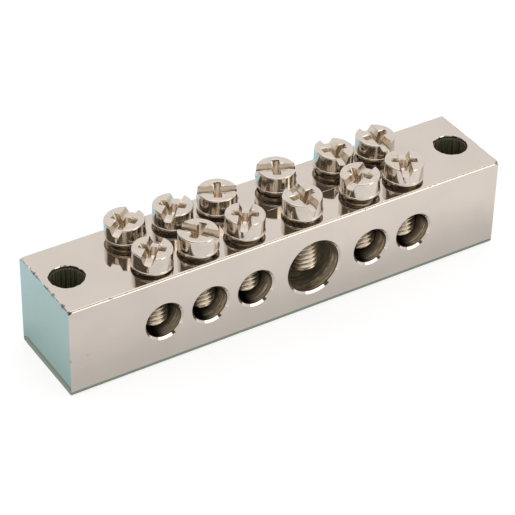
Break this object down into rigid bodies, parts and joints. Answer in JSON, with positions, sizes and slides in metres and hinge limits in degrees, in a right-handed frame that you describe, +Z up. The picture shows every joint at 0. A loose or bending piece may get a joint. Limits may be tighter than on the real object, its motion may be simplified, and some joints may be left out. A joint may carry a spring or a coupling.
{
  "type": "earth terminal bar",
  "caption": "Square plated brass bar with cross-drilled wire ways, two rows of clamp screws with combined slot and cross heads, and a fixing hole near each end.",
  "frame": {"origin": "middle of the base of the bar", "axes": "+X along the bar towards the end with two ways beyond the wide one, +Y to the rear, +Z up through the clamp screws"},
  "size_m": [0.0734, 0.015, 0.0188],
  "materials": {
    "plated_bar": "bright nickel plate, smooth drawn faces with fine scratches and small edge nicks",
    "plated_screw": "bright nickel-plated steel, pressed recess"
  },
  "bodies": {
    "bar": {"terminal_bar": "plated_bar"},
    "screw_front_1": {"screw_front_1": "plated_screw"},
    "screw_front_2": {"screw_front_2": "plated_screw"},
    "screw_front_3": {"screw_front_3": "plated_screw"},
    "screw_front_4": {"screw_front_4": "plated_screw"},
    "screw_front_5": {"screw_front_5": "plated_screw"},
    "screw_front_6": {"screw_front_6": "plated_screw"},
    "screw_rear_1": {"screw_rear_1": "plated_screw"},
    "screw_rear_2": {"screw_rear_2": "plated_screw"},
    "screw_rear_3": {"screw_rear_3": "plated_screw"},
    "screw_rear_4": {"screw_rear_4": "plated_screw"},
    "screw_rear_5": {"screw_rear_5": "plated_screw"},
    "screw_rear_6": {"screw_rear_6": "plated_screw"}
  },
  "joints": [
    {"name": "screw_front_1_travel", "type": "slide", "parent": "bar", "child": "screw_front_1", "axis": [0, 0, 1], "range_m": [-0.0001, 0.00453]},
    {"name": "screw_front_2_travel", "type": "slide", "parent": "bar", "child": "screw_front_2", "axis": [0, 0, 1], "range_m": [-0.00035, 0.00428]},
    {"name": "screw_front_3_travel", "type": "slide", "parent": "bar", "child": "screw_front_3", "axis": [0, 0, 1], "range_m": [-0.00045, 0.00418]},
    {"name": "screw_front_4_travel", "type": "slide", "parent": "bar", "child": "screw_front_4", "axis": [0, 0, 1], "range_m": [-0.00053, 0.00582]},
    {"name": "screw_front_5_travel", "type": "slide", "parent": "bar", "child": "screw_front_5", "axis": [0, 0, 1], "range_m": [-0.0006, 0.00403]},
    {"name": "screw_front_6_travel", "type": "slide", "parent": "bar", "child": "screw_front_6", "axis": [0, 0, 1], "range_m": [-0.00025, 0.00438]},
    {"name": "screw_rear_1_travel", "type": "slide", "parent": "bar", "child": "screw_rear_1", "axis": [0, 0, 1], "range_m": [-0.00065, 0.00397]},
    {"name": "screw_rear_2_travel", "type": "slide", "parent": "bar", "child": "screw_rear_2", "axis": [0, 0, 1], "range_m": [-0.0003, 0.00432]},
    {"name": "screw_rear_3_travel", "type": "slide", "parent": "bar", "child": "screw_rear_3", "axis": [0, 0, 1], "range_m": [-0.0002, 0.00443]},
    {"name": "screw_rear_4_travel", "type": "slide", "parent": "bar", "child": "screw_rear_4", "axis": [0, 0, 1], "range_m": [-0.00093, 0.00543]},
    {"name": "screw_rear_5_travel", "type": "slide", "parent": "bar", "child": "screw_rear_5", "axis": [0, 0, 1], "range_m": [-0.00065, 0.00397]},
    {"name": "screw_rear_6_travel", "type": "slide", "parent": "bar", "child": "screw_rear_6", "axis": [0, 0, 1], "range_m": [-0.00055, 0.00407]}
  ]
}
